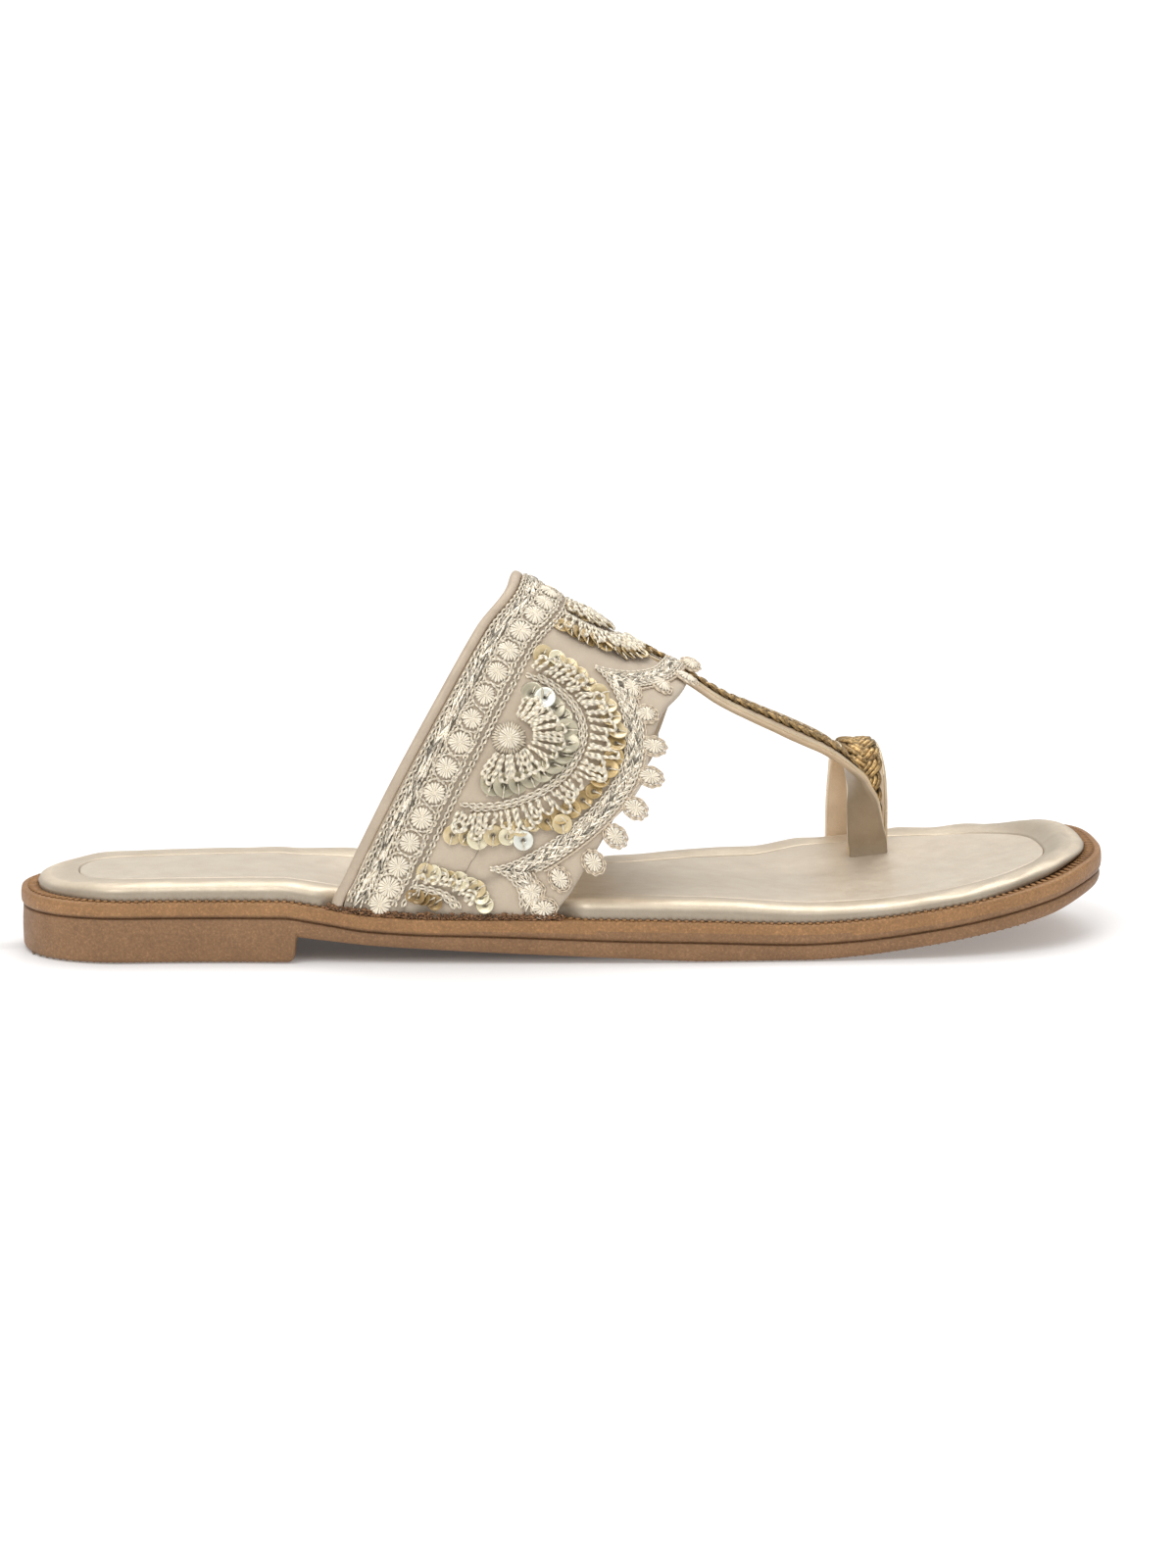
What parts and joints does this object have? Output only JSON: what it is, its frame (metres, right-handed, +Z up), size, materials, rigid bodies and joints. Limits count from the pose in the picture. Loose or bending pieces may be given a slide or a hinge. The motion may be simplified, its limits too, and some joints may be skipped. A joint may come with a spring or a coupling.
{
  "type": "kolhapuri sandal",
  "caption": "Flat right sandal with a broad embroidered instep band, a braided T-strap and a toe loop on a padded footbed and moulded rubber sole with a low heel",
  "frame": {"origin": "bottom centre of the bounding box, on the plane that heel and forefoot stand on", "axes": "+X to the toe, +Y to the inner (medial) side, +Z up"},
  "size_m": [0.2506, 0.0834, 0.0852],
  "materials": {
    "sole_rubber": "matte, fine grain",
    "footbed_leather": "metallic champagne coating, satin",
    "sock_leather": "metallic champagne coating, satin",
    "band_fabric": "suede-like cloth, matte",
    "zari_thread": "silver gold thread, soft shine",
    "bronze_braid": "metallic thread, antique bronze"
  },
  "bodies": {
    "root": {"outsole": "sole_rubber", "insole": "footbed_leather", "sock_panel": "sock_leather", "upper": "band_fabric", "vamp_binding": "footbed_leather", "dot_border": "zari_thread", "lace_trim": "zari_thread", "strap_braid": "bronze_braid", "loop_braid": "bronze_braid"}
  },
  "joints": []
}
